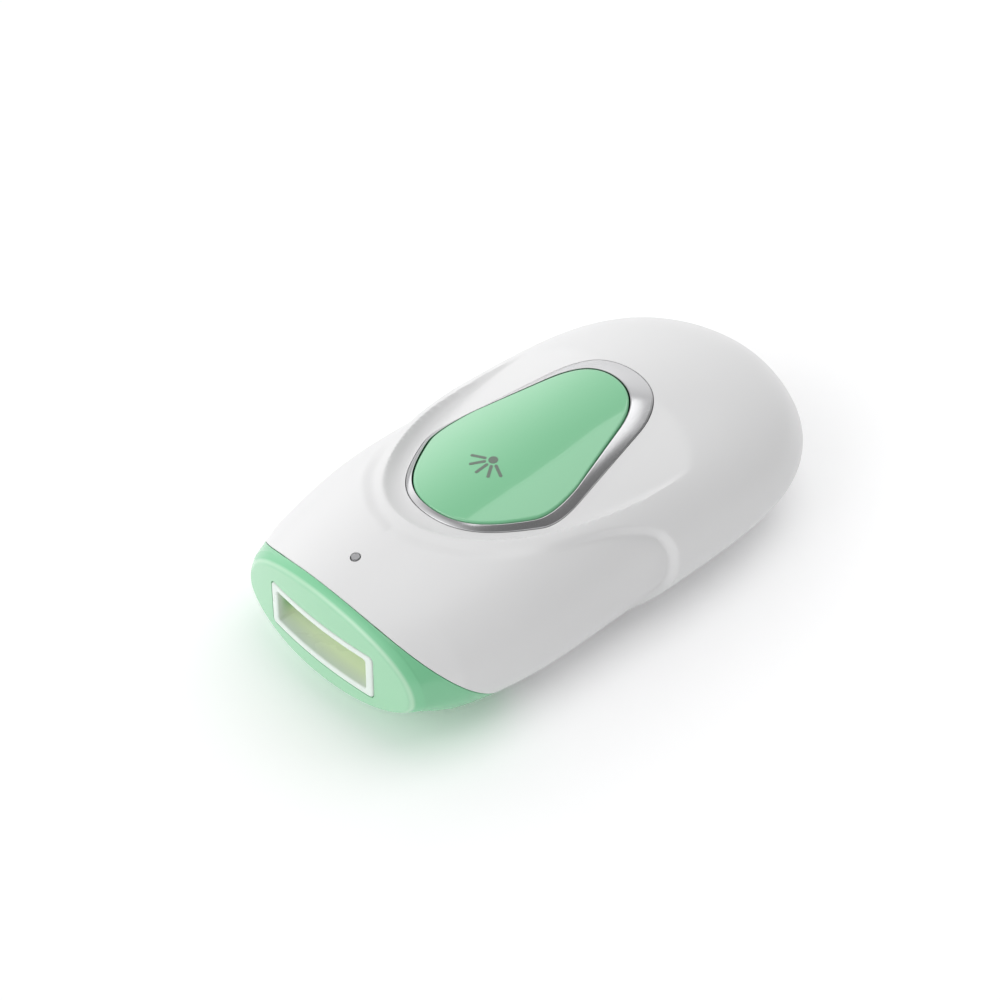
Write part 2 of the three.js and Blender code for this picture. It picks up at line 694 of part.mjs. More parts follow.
function buildInlet(shells) {
  const socket = toSolid(box(-5, 5, 45.5, 58.6, boardZ + boardThickness + gap, inletZ + 5));
  const bore = toSolid(cylinderY(3.2, 47.5, 70, 0, inletZ, 20));
  place('dc_socket', toGeometry(socket.subtract(bore)), finishes.blackPlastic());
  place('dc_pin', cylinderY(0.9, 47.5 + gap, 57.2, 0, inletZ, 14), finishes.brass());
  const surround = toSolid(box(-6, 6, 59, 70, inletZ - 5.2, inletZ + 5.2)).intersect(shells.outer);
  const opening = toSolid(box(-inletHalf, inletHalf, 50, 80, inletZ - inletHalf, inletZ + inletHalf));
  place('dc_surround', toGeometry(surround.subtract(opening)), finishes.whitePlastic());
}

function buildCasingScrews() {
  let number = 1;
  for (const y of screwYs) {
    for (const x of [-screwX, screwX]) {
      const screw = makeScrew(2.4, 1.1, 1.3, 9);
      screw.translate(x, y, screwSeatZ - gap - 1.1);
      place(`casing_screw_${number}`, screw, finishes.steel());
      number += 1;
    }
  }
}

const shells = makeShells();
place('upper_casing', makeUpperCasing(shells), finishes.whitePlastic());
place('lower_casing', makeLowerCasing(shells), finishes.whitePlastic());
place('nose_cover', makeNoseCover(shells), finishes.greenPlastic());
place('window_frame', makeWindowFrame(), finishes.frostedPlastic());
buildButtonGroup();
buildLampGroup();
buildStatusLight();
place('fan_frame', makeFanFrame(), finishes.blackPlastic());
place('fan_rotor', makeFanRotor(), finishes.blackPlastic());
buildPowerGroup();
buildInlet(shells);
buildCasingScrews();

export default device;
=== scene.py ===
# Light-pulse hair remover: white palm-shaped body, green nose with a flash window, green push button in a
# satin metal bezel, and the lamp, boards and fan inside. Sizes are in millimetres unless a note says so.
import json
import math

import bpy
import numpy as np
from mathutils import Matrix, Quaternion, Vector


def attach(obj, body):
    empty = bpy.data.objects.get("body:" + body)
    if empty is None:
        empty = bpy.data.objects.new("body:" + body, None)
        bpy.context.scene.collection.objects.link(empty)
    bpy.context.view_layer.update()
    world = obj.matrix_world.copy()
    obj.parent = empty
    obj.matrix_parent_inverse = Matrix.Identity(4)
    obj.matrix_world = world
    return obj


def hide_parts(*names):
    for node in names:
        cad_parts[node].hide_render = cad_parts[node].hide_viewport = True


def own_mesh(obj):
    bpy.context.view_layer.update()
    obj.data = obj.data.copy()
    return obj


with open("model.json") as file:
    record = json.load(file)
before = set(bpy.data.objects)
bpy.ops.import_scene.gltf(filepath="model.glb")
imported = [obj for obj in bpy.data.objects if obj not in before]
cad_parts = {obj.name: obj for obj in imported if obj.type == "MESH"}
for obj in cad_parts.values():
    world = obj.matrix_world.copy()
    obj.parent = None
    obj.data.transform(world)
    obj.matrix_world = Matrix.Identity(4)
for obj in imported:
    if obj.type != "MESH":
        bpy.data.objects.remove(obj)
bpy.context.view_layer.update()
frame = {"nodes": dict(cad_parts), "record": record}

mm = 0.001
scene = bpy.context.scene
print("frame loaded:", len(frame["nodes"]), "nodes")

# camera and studio

studio = {
    "target": (0, -13.3, 24.95),
    "azimuth": 46.77,
    "elevation": 43.17,
    "distance": 750,
    "lens": 124.56,  # on a sensor 36 wide
    "floorSize": 3000,
    "floorColour": (0.97, 0.97, 0.975),
    "floorGlow": 0.09,
}


def makeCamera():
    turn, rise = math.radians(studio["azimuth"]), math.radians(studio["elevation"])
    back = Vector((math.sin(turn) * math.cos(rise), -math.cos(turn) * math.cos(rise), math.sin(rise)))
    data = bpy.data.cameras.new("camera")
    data.lens = studio["lens"]
    data.sensor_width = 36
    data.clip_start = 0.01
    camera = bpy.data.objects.new("camera", data)
    camera.location = (Vector(studio["target"]) + back * studio["distance"]) * mm
    camera.rotation_mode = "QUATERNION"
    camera.rotation_quaternion = (-back).to_track_quat("-Z", "Y")
    scene.collection.objects.link(camera)
    scene.camera = camera


makeCamera()

# shader writing


class Shade:
    # one shader output; sums and products of shades become Math nodes
    def __init__(self, paint, socket):
        self.paint = paint
        self.socket = socket

    def join(self, operation, first, second):
        return self.paint.node("ShaderNodeMath", {"operation": operation}, {0: first, 1: second})

    def clamp(self):
        return self.join("MINIMUM", self.join("MAXIMUM", self, 0.0), 1.0)

    def __add__(self, other):
        return self.join("ADD", self, other)

    def __radd__(self, other):
        return self.join("ADD", other, self)

    def __sub__(self, other):
        return self.join("SUBTRACT", self, other)

    def __rsub__(self, other):
        return self.join("SUBTRACT", other, self)

    def __mul__(self, other):
        return self.join("MULTIPLY", self, other)

    def __rmul__(self, other):
        return self.join("MULTIPLY", other, self)

    def __truediv__(self, other):
        return self.join("DIVIDE", self, other)

    def __gt__(self, other):
        return self.join("GREATER_THAN", self, other)

    def __lt__(self, other):
        return self.join("LESS_THAN", self, other)

    def __pow__(self, other):
        return self.join("POWER", self, other)


class Paint:
    # a node tree being written; a material's has a Principled shader
    def __init__(self, name, tree=None):
        if tree is None:
            self.material = bpy.data.materials.new(name)
            self.material.use_nodes = True
            tree = self.material.node_tree
            self.shader = tree.nodes["Principled BSDF"]
        self.tree = tree

    def plug(self, socket, value):
        if isinstance(value, Shade):
            self.tree.links.new(value.socket, socket)
        else:
            socket.default_value = value

    def node(self, kind, settings, sockets, output=0):
        made = self.tree.nodes.new(kind)
        for key, value in settings.items():
            if key == "stops":
                ramp = made.color_ramp.elements
                while len(ramp) < len(value):
                    ramp.new(1)
                for stop, (place, colour) in zip(ramp, value):
                    stop.position = place
                    stop.color = (*colour, 1)
            else:
                setattr(made, key, value)
        for key, value in sockets.items():
            self.plug(made.inputs[key], value)
        return Shade(self, made.outputs[output])

    def place(self):
        return self.node("ShaderNodeTexCoord", {}, {}, "Object")

    def axes(self):
        split = self.node("ShaderNodeSeparateXYZ", {}, {0: self.place()})
        return [Shade(self, out) for out in split.socket.node.outputs]

    def noise(self, scale, detail=2.0, stretch=(1, 1, 1)):
        spot = self.node("ShaderNodeMapping", {}, {"Vector": self.place(), "Scale": stretch})
        return self.node("ShaderNodeTexNoise", {}, {"Vector": spot, "Scale": scale, "Detail": detail})

    def mix(self, factor, first, second):
        ends = [(*c, 1) if isinstance(c, tuple) and len(c) == 3 else c for c in (first, second)]
        return self.node("ShaderNodeMix", {"data_type": "RGBA"}, {0: factor, 6: ends[0], 7: ends[1]}, 2)

    def ramp(self, factor, stops):
        return self.node("ShaderNodeValToRGB", {"stops": stops}, {0: factor})

    def bump(self, height, strength, distance):
        sockets = {"Height": height, "Strength": strength, "Distance": distance}
        relief = self.node("ShaderNodeBump", {}, sockets)
        self.wear(Normal=relief)

    def wear(self, **sockets):
        for name, value in sockets.items():
            words = "".join(" " + c if c.isupper() else c for c in name).strip()
            socket = self.shader.inputs["IOR" if name == "Ior" else words]
            if isinstance(value, tuple) and len(value) == 3:
                value = (*value, 1)
            self.plug(socket, value)


def smoothPlastic(name, colour, shade, roughness, look):
    # moulded plastic: faint colour drift, hazy sheen changes and a very fine tooth
    paint = Paint(name)
    drift = paint.noise(look["driftScale"], 3)
    haze = paint.noise(look["hazeScale"], 4)
    paint.wear(BaseColor=paint.mix(drift, colour, shade))
    paint.wear(Roughness=roughness + (haze - 0.5) * look["hazeDepth"])
    tooth = paint.noise(look["toothScale"], 2)
    paint.bump(tooth, look["tooth"], 0.00002)
    return paint


plasticLook = {"driftScale": 35, "hazeScale": 90, "hazeDepth": 0.06, "toothScale": 5200, "tooth": 0.12}


def casingWhite():
    paint = smoothPlastic("casingWhite", (0.74, 0.74, 0.743), (0.725, 0.725, 0.728), 0.36, plasticLook)
    paint.wear(CoatWeight=0.12, CoatRoughness=0.2)
    return paint.material


noseLook = {"face": (0.31, 0.60, 0.385), "band": (0.20, 0.56, 0.31), "edge": (0.40, 0.68, 0.47),
            "faceY": -0.06575, "bandY": -0.0649, "bow": 4.17}


def noseGreen():
    # paler across the front face, deeper behind its edge, with a painted highlight palest along the edge itself
    paint = smoothPlastic("noseGreen", (0.34, 0.72, 0.44), (0.32, 0.69, 0.42), 0.26, plasticLook)
    across, along, _ = paint.axes()
    back = along - across * across * noseLook["bow"]
    run = (back - noseLook["faceY"]) / (noseLook["bandY"] - noseLook["faceY"])
    line = noseLook["edge"]
    # the edge stop is a painted highlight along the face's rounded edge
    stops = [(0.0, noseLook["face"]), (0.3, line), (0.5, line), (1.0, noseLook["band"])]
    tone = paint.ramp(run.clamp(), stops)
    mottle = paint.noise(plasticLook["driftScale"], 3)
    deeper = paint.node("ShaderNodeHueSaturation", {}, {"Color": tone, "Value": 0.96})
    paint.wear(BaseColor=paint.mix(mottle, tone, deeper), CoatWeight=0.4, CoatRoughness=0.12)
    return paint.material


def buttonGreen():
    look = dict(plasticLook, tooth=0.015, hazeDepth=0.02)
    paint = smoothPlastic("buttonGreen", (0.215, 0.56, 0.315), (0.205, 0.545, 0.3), 0.16, look)
    paint.wear(CoatWeight=0.9, CoatRoughness=0.03)
    return paint.material


def iconInk():
    paint = smoothPlastic("iconInk", (0.16, 0.20, 0.165), (0.13, 0.17, 0.14), 0.5, plasticLook)
    return paint.material


def metalFinish(name, colour, shade, roughness, grain):
    # grain is the stretch of the polishing marks along x, y and z
    paint = Paint(name)
    marks = paint.noise(900, 3, grain)
    cloud = paint.noise(120, 3)
    paint.wear(BaseColor=paint.mix(cloud, colour, shade), Metallic=1.0)
    paint.wear(Roughness=roughness + (marks - 0.5) * 0.1)
    paint.bump(marks, 0.06, 0.00003)
    return paint.material


def satinMetal():
    return metalFinish("satinMetal", (0.62, 0.62, 0.63), (0.58, 0.58, 0.59), 0.2, (1, 1, 6))


def mirrorMetal():
    return metalFinish("mirrorMetal", (0.9, 0.9, 0.91), (0.87, 0.87, 0.88), 0.06, (1, 1, 1))


def aluminium():
    return metalFinish("aluminium", (0.66, 0.67, 0.68), (0.6, 0.61, 0.62), 0.38, (1, 1, 0.05))


def steel():
    return metalFinish("steel", (0.58, 0.59, 0.6), (0.5, 0.51, 0.52), 0.3, (1, 1, 1))


def brass():
    return metalFinish("brass", (0.78, 0.6, 0.28), (0.66, 0.48, 0.2), 0.25, (0.1, 1, 1))


def copper():
    # windings: a ridge for each turn of wire, with painted shade darkening the colour between the turns
    paint = Paint("copper")
    up = paint.axes()[2]
    turns = paint.node("ShaderNodeMath", {"operation": "SINE"}, {0: up * 16000})
    # painted shade: darker copper in the grooves, paler on the crowns of the turns
    paint.wear(BaseColor=paint.mix(turns * 0.5 + 0.5, (0.42, 0.16, 0.06), (0.75, 0.36, 0.17)))
    paint.wear(Metallic=1.0, Roughness=0.35)
    paint.bump(turns, 0.5, 0.0001)
    return paint.material


cavityPaintedLight = {"mouthY": -0.0652, "leftPaintedGreen": (0.10, 0.40, 0.05), "rightPaintedGreen": (0.46, 0.66, 0.16),
              "low": (0.78, 0.84, 0.68), "glow": 0.12}


def frostedPlastic():
    # white at the lips; further in, painted light standing for light through the coated glass: green,
    # yellow-green, then pale low down
    paint = smoothPlastic("frostedPlastic", (0.87, 0.93, 0.88), (0.82, 0.9, 0.83), 0.28, plasticLook)
    across, along, up = paint.axes()
    side = paint.mix(((across + 0.014) / 0.02).clamp(), cavityPaintedLight["leftPaintedGreen"], cavityPaintedLight["rightPaintedGreen"])
    paintedGlassLight = paint.mix(((0.0175 - up) / 0.004).clamp(), side, cavityPaintedLight["low"])
    depth = (along - across * across * noseLook["bow"] - cavityPaintedLight["mouthY"]) / 0.003
    tone = paint.mix(depth.clamp(), (0.61, 0.67, 0.63), paintedGlassLight)
    # the same colour is also painted to glow faintly, though the frame is no lamp
    paint.wear(BaseColor=tone, EmissionColor=tone, EmissionStrength=cavityPaintedLight["glow"], CoatWeight=0.2)
    return paint.material


def holeShadeGreyPipe():
    # the light pipe is painted dark grey as painted shade, so the hole above it reads dark
    look = dict(plasticLook, tooth=0.3)
    return smoothPlastic("holeShadeGreyPipe", (0.38, 0.38, 0.39), (0.32, 0.32, 0.33), 0.5, look).material


def filterGlass():
    # coated window: yellow-green with a slow drift of the coating's colour, and a faint painted glow
    paint = Paint("filterGlass")
    drift = paint.noise(60, 2)
    paint.wear(BaseColor=paint.mix(drift, (0.30, 0.52, 0.10), (0.42, 0.6, 0.16)), Roughness=0.06)
    paint.wear(TransmissionWeight=0.3, Ior=1.5, CoatWeight=0.5)
    # painted glow: the glass glows faintly though it is no lamp
    paint.wear(EmissionColor=(0.5, 0.65, 0.28), EmissionStrength=0.08)
    paint.bump(paint.noise(300, 2), 0.02, 0.00005)
    return paint.material


def lampGlass():
    paint = Paint("lampGlass")
    soot = paint.noise(200, 4)
    paint.wear(BaseColor=paint.mix(soot, (0.93, 0.94, 0.95), (0.8, 0.8, 0.82)), Roughness=0.05)
    paint.wear(TransmissionWeight=0.8, Ior=1.46)
    return paint.material


def ceramic():
    paint = Paint("ceramic")
    speck = paint.noise(1500, 4)
    tone = paint.mix(speck, (0.86, 0.83, 0.76), (0.78, 0.75, 0.68))
    paint.wear(BaseColor=tone, Roughness=0.65 + speck * 0.15)
    paint.bump(speck, 0.3, 0.00005)
    return paint.material


def boardGreen():
    # solder mask over etched tracks, with tinned pads
    paint = Paint("boardGreen")
    cells = {"feature": "F1", "distance": "CHEBYCHEV"}
    pads = paint.node("ShaderNodeTexVoronoi", cells, {"Vector": paint.place(), "Scale": 210.0}, "Distance")
    wave = paint.node("ShaderNodeTexBrick", {"offset": 0.35},
                      {"Vector": paint.place(), "Scale": 160.0, "Mortar Size": 0.05}, "Fac")
    track = paint.mix(wave, (0.02, 0.11, 0.045), (0.035, 0.2, 0.08))
    pad = pads < 0.12
    paint.wear(BaseColor=paint.mix(pad, track, (0.62, 0.62, 0.6)), Metallic=pad * 0.9)
    paint.wear(Roughness=0.3 + wave * 0.1)
    paint.bump(wave + pad * 0.6, 0.25, 0.00005)
    return paint.material


def blackPlastic():
    look = dict(plasticLook, tooth=0.3)
    return smoothPlastic("blackPlastic", (0.018, 0.019, 0.021), (0.026, 0.027, 0.03), 0.42, look).material


def ferrite():
    paint = Paint("ferrite")
    speck = paint.noise(2500, 5)
    paint.wear(BaseColor=paint.mix(speck, (0.02, 0.02, 0.022), (0.07, 0.07, 0.075)), Roughness=0.75)
    paint.bump(speck, 0.5, 0.00008)
    return paint.material


def capacitorSleeve():
    # shrunk sleeve: dark blue-black with one pale stripe down its side
    paint = Paint("capacitorSleeve")
    across, _, up = paint.axes()
    stripe = (paint.node("ShaderNodeMath", {"operation": "ABSOLUTE"}, {0: across}) > 0.0145) * (up > 0.02)
    paint.wear(BaseColor=paint.mix(stripe, (0.012, 0.016, 0.03), (0.6, 0.62, 0.64)), Roughness=0.3)
    paint.bump(paint.noise(250, 3), 0.15, 0.0001)
    return paint.material


def coilTape():
    paint = Paint("coilTape")
    along = paint.axes()[1]
    laps = paint.node("ShaderNodeMath", {"operation": "SINE"}, {0: along * 3500})
    paint.wear(BaseColor=paint.mix(paint.noise(300, 3), (0.8, 0.55, 0.08), (0.68, 0.42, 0.05)), Roughness=0.35)
    paint.bump(laps > 0.9, 0.4, 0.0001)
    return paint.material


def redWire():
    return smoothPlastic("redWire", (0.5, 0.03, 0.02), (0.42, 0.02, 0.015), 0.45, plasticLook).material


slotPaints = {
    "casing_white": casingWhite(), "nose_green": noseGreen(), "button_green": buttonGreen(),
    "satin_metal": satinMetal(), "frosted_plastic": frostedPlastic(), "filter_glass": filterGlass(),
    "mirror_metal": mirrorMetal(), "ceramic": ceramic(), "aluminium": aluminium(), "steel": steel(),
    "board_green": boardGreen(), "copper": copper(), "brass": brass(), "capacitor_sleeve": capacitorSleeve(),
    "coil_tape": coilTape(), "black_plastic": blackPlastic(), "ferrite": ferrite(), "red_wire": redWire(),
    "icon_ink": iconInk(),
}
print("materials written:", len(slotPaints))

# mesh tools; points are arrays in millimetres


def signedVolume(points, quads):
    a, b, c, d = (points[quads[:, i]] for i in range(4))
    return (np.einsum("ij,ij->i", a, np.cross(b, c)) + np.einsum("ij,ij->i", a, np.cross(c, d))).sum()


def loft(name, rows, closed=False):
    # rows of loops, each row x columns x 3, joined into one skin; open lofts end in fans
    rows = np.asarray(rows, float)
    count, columns = rows.shape[:2]
    points = rows.reshape(-1, 3)
    bands = np.arange(count if closed else count - 1)[:, None] * columns
    here = np.arange(columns)[None, :]
    after = (here + 1) % columns
    above = (bands + columns) % (count * columns)
    quads = np.stack([bands + here, bands + after, above + after, above + here], axis=-1).reshape(-1, 4)
    flip = signedVolume(points, quads) < 0
    faces = quads[:, ::-1].tolist() if flip else quads.tolist()
    if not closed:
        hubs = []
        for start, outward in ((0, 0), ((count - 1) * columns, 1)):
            hub = len(points) + len(hubs)
            hubs.append(points[start:start + columns].mean(axis=0))
            for i in range(columns):
                first, second = start + i, start + (i + 1) % columns
                faces.append((hub, first, second) if outward != flip else (hub, second, first))
        points = np.vstack([points, hubs])
    mesh = bpy.data.meshes.new(name)
    mesh.from_pydata((points * mm).tolist(), [], faces)
    mesh.update()
    piece = bpy.data.objects.new(name, mesh)
    scene.collection.objects.link(piece)
    return piece


def carve(piece, tool, operation="DIFFERENCE"):
    # boolean of piece with tool, which is used up
    step = piece.modifiers.new("carve", "BOOLEAN")
    step.operation = operation
    step.solver = "MANIFOLD"
    step.object = tool
    shaped = piece.evaluated_get(bpy.context.evaluated_depsgraph_get())
    mesh = bpy.data.meshes.new_from_object(shaped)
    piece.modifiers.clear()
    piece.data = mesh
    bpy.data.objects.remove(tool)


def copyOf(piece):
    twin = piece.copy()
    twin.data = piece.data.copy()
    scene.collection.objects.link(twin)
    return twin


def roundedBox(halfX, halfZ, radius, y0, y1, z=0.0, x=0.0, corner=8):
    # a bar along y with rounded corners
    return loft("bar", [roundedLoop(halfX, halfZ, radius, y, z, x, corner) for y in (y0, y1)])


def roundedLoop(halfX, halfZ, radius, y, z=0.0, x=0.0, corner=8, straight=1):
    centres = [(halfX - radius, halfZ - radius, 0), (radius - halfX, halfZ - radius, 90),
               (radius - halfX, radius - halfZ, 180), (halfX - radius, radius - halfZ, 270)]
    loop = []
    for cx, cz, start in centres:
        for i in range(corner + 1):
            angle = math.radians(start + 90 * i / corner)
            loop.append((x + cx + radius * math.cos(angle), y, z + cz + radius * math.sin(angle)))
    full = []
    for here, after in zip(loop, loop[1:] + loop[:1]):
        gaps = straight if math.dist(here, after) > radius else 1
        full += [tuple(a + (b - a) * i / gaps for a, b in zip(here, after)) for i in range(gaps)]
    return full


def postZ(radius, z0, z1, x, y, sides=32):
    angles = [2 * math.pi * i / sides for i in range(sides)]
    loops = [[(x + radius * math.cos(a), y + radius * math.sin(a), z) for a in angles] for z in (z0, z1)]
    return loft("post", loops)


def finishPiece(piece, name, body, slot, nodes, edge=30):
    piece.name = name
    piece.data.name = name
    piece.data.shade_smooth()
    piece.data.set_sharp_from_angle(angle=math.radians(edge))
    piece.data.materials.clear()
    piece.data.materials.append(slotPaints[slot])
    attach(piece, body)
    if nodes:
        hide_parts(*nodes)
    print("piece:", name, len(piece.data.polygons), "faces")
    return piece


# body form, the same curves as the frame's shells

form = {
    "noseY": -65.8, "rearY": 66, "widestY": -2, "crestY": -11,
    "halfWidth": 35.9, "noseHalfWidth": 27.7, "waistZ": 16.1, "crestZ": 41.3,
    "noseDrop": 8.2, "bellyDrop": 0.8, "noseRise": 7.2, "bellyFrontY": -26, "bellyRearY": 17,
    "faceBow": 3.2, "windowZ": 17.8, "windowHole": (16.25, 6.15, 1.3),
    "topPower": 1.95, "bottomPower": 2.145,
    "bandDepth": 2.4, "bandSides": 0.045, "bandTop": 0.105, "bandBottom": 0.03, "edgeRadius": 0.55,
    "wall": 2, "splitZ": 6.5, "splitGap": 0.2, "seamGap": 0.12, "seamRadius": 0.25,
}
dish = {
    "bedZ": 36.9, "bedSlope": 0.044, "crown": 0.0092,
    "halfWidth": 28.4, "halfLength": 65, "middleY": 23, "power": 2.1,
    "lipStart": 0.905, "lipRise": 3.2, "lipPower": 1.7, "softness": 0.25,
}
petal = {  # the sleeve's edge: turn from the top in degrees, and where it runs
    "turns": (0, 17, 35.6, 45.3, 53.5, 62, 73, 87, 104, 130),
    "ys": (-45.4, -42.3, -32.1, -20.4, -6.7, 2, 5.2, 5.2, 3.4, -6),
    "stripDrop": 0.7, "recess": 1.8, "softTop": 2.8, "softTip": 2.2,
}


def ease(value, start, end):
    t = np.clip((value - start) / (end - start), 0, 1)
    return t * t * (3 - 2 * t)


def halfWidthAt(y, inset):
    forward = np.clip((form["widestY"] - y) / 61, 0, None)
    back = np.clip((y - form["widestY"]) / (form["rearY"] - inset - form["widestY"]), 0, 1)
    front = form["halfWidth"] - (form["halfWidth"] - form["noseHalfWidth"]) * forward ** 2.53 - inset
    return np.where(y < form["widestY"], front, (form["halfWidth"] - inset) * (1 - back ** 4.5) ** 0.503)


def topAt(y, inset):
    forward = np.clip((form["crestY"] - y) / 52, 0, 1)
    back = np.clip((y - form["crestY"]) / (form["rearY"] - inset - form["crestY"]), 0, 1)
    front = form["crestZ"] - form["noseDrop"] * forward ** 1.77 - inset
    rear = form["waistZ"] + (form["crestZ"] - inset - form["waistZ"]) * (1 - back ** 1.6) ** 0.408
    return np.where(y < form["crestY"], front, rear)


def bottomAt(y, inset):
    low = inset - form["bellyDrop"]
    forward = np.clip((form["bellyFrontY"] - y) / 37, 0, 1)
    back = np.clip((y - form["bellyRearY"]) / (form["rearY"] - inset - form["bellyRearY"]), 0, 1)
    front = low + (form["noseRise"] + form["bellyDrop"]) * forward ** 3.9
    rear = form["waistZ"] - (form["waistZ"] - low) * (1 - back ** 2.2) ** 0.25
    return np.where(y < form["bellyFrontY"], front, rear)


def skinPoints(y, angle, inset=0.0):
    # a point of the plain body for each station y and each turn round the waist
    # the nose tapers to its front face, more over the top, and the face has a small round edge
    band = np.zeros(1) if inset else np.clip(1 - (y - form["noseY"]) / form["bandDepth"], 0, 1) ** 1.5
    near = np.zeros(1) if inset else np.clip(1 - (y - form["noseY"]) / form["edgeRadius"], 0, 1)
    roundOff = form["edgeRadius"] * (1 - np.sqrt(1 - near ** 2))
    sides = 1 - form["bandSides"] * band - roundOff / form["noseHalfWidth"]
    across, up = np.cos(angle), np.sin(angle)
    power = np.where(up > 0, 2 / form["topPower"], 2 / form["bottomPower"])
    x = halfWidthAt(y, inset) * sides * np.sign(across) * np.abs(across) ** power
    reach = np.where(up > 0, topAt(y, inset) - form["waistZ"], form["waistZ"] - bottomAt(y, inset))
    z = form["waistZ"] + reach * np.sign(up) * np.abs(up) ** power
    draw = np.where(z > form["windowZ"], form["bandTop"], form["bandBottom"]) * band
    z = form["windowZ"] + (z - form["windowZ"]) * (1 - draw - roundOff / 14)
    bow = form["faceBow"] * np.clip((-52 - y) / 12, 0, 1) * (x / form["noseHalfWidth"]) ** 2
    return np.stack([x, y + bow, np.maximum(z, inset)], axis=-1)


seam = {"y": -63.4, "z": 32.8, "lean": 0.42, "bend": 0.0185}


def seamY(z):
    below = seam["z"] - z
    return seam["y"] + seam["lean"] * below + seam["bend"] * below * np.abs(below)


def seamStation(angle, shift):
    # the station at which each column of the skin meets the seam
    y = np.full_like(angle, -50.0)
    for _ in range(30):
        point = skinPoints(y, angle)
        y = y + 0.7 * (seamY(point[..., 2]) + shift - point[..., 1])
        y = np.maximum(y, form["noseY"] + 0.05)
    return y


def bedHeight(x, y):
    return dish["bedZ"] + dish["bedSlope"] * y - dish["crown"] * x ** 2


def dishHeight(x, y):
    power = dish["power"]
    reach = (np.abs(x / dish["halfWidth"]) ** power
             + np.abs((y - dish["middleY"]) / dish["halfLength"]) ** power) ** (1 / power)
    lip = np.clip((reach - dish["lipStart"]) / (1 - dish["lipStart"]), 0, 3)
    return bedHeight(x, y) + dish["lipRise"] * lip ** dish["lipPower"]


def softLower(first, second, softness):
    blend = np.clip(0.5 + 0.5 * (second - first) / softness, 0, 1)
    return second + (first - second) * blend - softness * blend * (1 - blend)


def curveThrough(value, knots, heights):
    # smooth curve through a few points, with slopes taken from their neighbours
    knots, heights = np.array(knots, float), np.array(heights, float)
    slopes = np.gradient(heights, knots)
    i = np.clip(np.searchsorted(knots, value) - 1, 0, len(knots) - 2)
    span = knots[i + 1] - knots[i]
    t = np.clip((value - knots[i]) / span, 0, 1)
    low = (1 + 2 * t) * (1 - t) ** 2 * heights[i] + t * (1 - t) ** 2 * span * slopes[i]
    return low + t * t * (3 - 2 * t) * heights[i + 1] - t * t * (1 - t) * span * slopes[i + 1]


def petalOffset(y, angle):
    # how far the skin sinks: the strip inside the sleeve's edge, and the finger recess outside its tip
    turn = np.abs(np.degrees((angle - math.pi / 2 + math.pi) % (2 * math.pi) - math.pi))
    edge = curveThrough(turn, petal["turns"], petal["ys"])
    slope = (curveThrough(turn + 0.5, petal["turns"], petal["ys"]) - edge) / (0.5 * 0.54)
    across = (y - edge) / np.sqrt(1 + slope ** 2)
    soft = petal["softTop"] + (petal["softTip"] - petal["softTop"]) * ease(turn, 30, 60)
    inside = ease(across, -soft / 2, soft / 2)
    strip = petal["stripDrop"] * (1 - ease(y, -34, -10))
    recess = petal["recess"] * ease(y, -38, 2) * ease(turn, 28, 52) * (1 - ease(turn, 104, 130))
    return -strip * inside - recess * (1 - inside)


def outwardNormals(points):
    along = np.gradient(points, axis=0)
    around = np.roll(points, -1, axis=1) - np.roll(points, 1, axis=1)
    normal = np.cross(along, around)
    normal /= np.maximum(np.linalg.norm(normal, axis=-1, keepdims=True), 1e-9)
    outward = points - (0, 0, form["waistZ"])
    outward[..., 1] = 0
    return normal * np.sign((normal * outward).sum(axis=-1).mean())


def shapedSkin(y, angle, seamDistance=None):
    # the finished outer surface: sleeve, strip, finger recesses, dish and the rounded seam edge
    points = skinPoints(y, angle)
    normal = outwardNormals(points)
    sink = petalOffset(points[..., 1], angle)
    if seamDistance is not None:
        near = np.clip(1 - seamDistance / form["seamRadius"], 0, 1)
        sink = sink - form["seamRadius"] * (1 - np.sqrt(1 - near ** 2))
    points = points + normal * sink[..., None]
    x, spot, z = points[..., 0], points[..., 1], points[..., 2]
    dug = softLower(z, dishHeight(x, spot), dish["softness"])
    points[..., 2] = np.where((np.sin(angle) > 0) & (spot > -60), dug, z)
    points[..., 2] = np.maximum(points[..., 2], 0)
    return points


def innerSolid(name):
    # the hollow of all three shells, one wall inside the skin
    wall, columns = form["wall"], 96
    angle = np.linspace(0, 2 * math.pi, columns, endpoint=False)[None, :]
    back = form["rearY"] - wall
    stations = np.concatenate([np.linspace(form["noseY"] + 3.2, 40, 60),
                               40 + (back - 40) * np.sin(np.linspace(0.05, math.pi / 2 - 0.02, 24))])[:, None]
    points = skinPoints(stations + angle * 0, angle + stations * 0, wall)
    x, y, z = points[..., 0], points[..., 1], points[..., 2]
    points[..., 2] = np.where(np.sin(angle) > 0, np.minimum(z, dishHeight(x, y) - wall), z)
    return loft(name, points)


grid = {"columns": 340, "noseRows": 56, "casingRows": 250, "crowding": 0.12}


def columnAngles(count):
    # columns stand closer together over the top
    turn = np.linspace(0, 2 * math.pi, count, endpoint=False)
    return (turn + grid["crowding"] * np.cos(turn))[None, :]


def casingSolid():
    angle = columnAngles(grid["columns"])
    start = seamStation(angle[0], form["seamGap"])[None, :]
    edgeRows = np.array([0, 0.03, 0.08, 0.15, 0.23, 0.32])
    length = form["rearY"] - start
    u = np.linspace(0, 1, grid["casingRows"])[1:]
    share = np.where(u < 0.8, u * 0.96, 1 - (1 - 0.768) * ((1 - u) / 0.2) ** 2.2)[:, None]
    stations = np.concatenate([start + edgeRows[:, None], start + 0.32 + (length - 0.32) * share * 0.99999])
    turn = angle + stations * 0
    return loft("casing", shapedSkin(stations, turn, stations - start))


